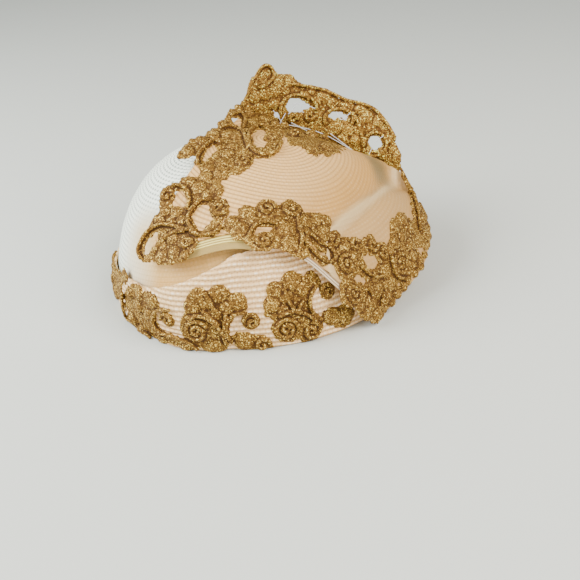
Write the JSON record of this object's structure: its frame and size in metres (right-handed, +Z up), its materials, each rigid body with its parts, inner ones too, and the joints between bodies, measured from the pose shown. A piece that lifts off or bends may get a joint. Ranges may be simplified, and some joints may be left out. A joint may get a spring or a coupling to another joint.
{
  "type": "cocktail hat",
  "caption": "Small draped straw hat: a domed cap inside a folded wrap, a creased upper layer, and bands of pierced metallic lace round the rim, edges and crown.",
  "frame": {"origin": "middle of the rim's box on the plane that the rim rests on", "axes": "+Z up through the crown, +Y from the low near side with the folded wrap to the far side behind the standing lace, +X towards the upturned right panel"},
  "size_m": [0.2367, 0.2381, 0.1415],
  "materials": {
    "cap_straw": "fine straw braid in sewn rows, pale with a cool cast",
    "wrap_straw": "straw braid in sewn rows along the rim, cream",
    "shell_straw": "straw braid in rows round the crown, cream with a warm cast",
    "hem_straw": "ribbed pale yellow straw strip, slightly glossy",
    "strip_straw": "silvery white straw strip, slightly glossy",
    "metallic_lace": "old gold metallic thread lace, corded and glittering",
    "shaded_lace": "dull gold metallic thread lace"
  },
  "bodies": {
    "root": {"crown_cap": "cap_straw", "brim_wrap": "wrap_straw", "upper_shell": "shell_straw", "shell_hem": "hem_straw", "straw_strip": "strip_straw", "rim_lace_near": "metallic_lace", "rim_lace_far": "metallic_lace", "left_lace": "metallic_lace", "front_lace": "metallic_lace", "right_lace": "metallic_lace", "crown_lace": "shaded_lace", "collar_lace": "metallic_lace"}
  },
  "joints": []
}
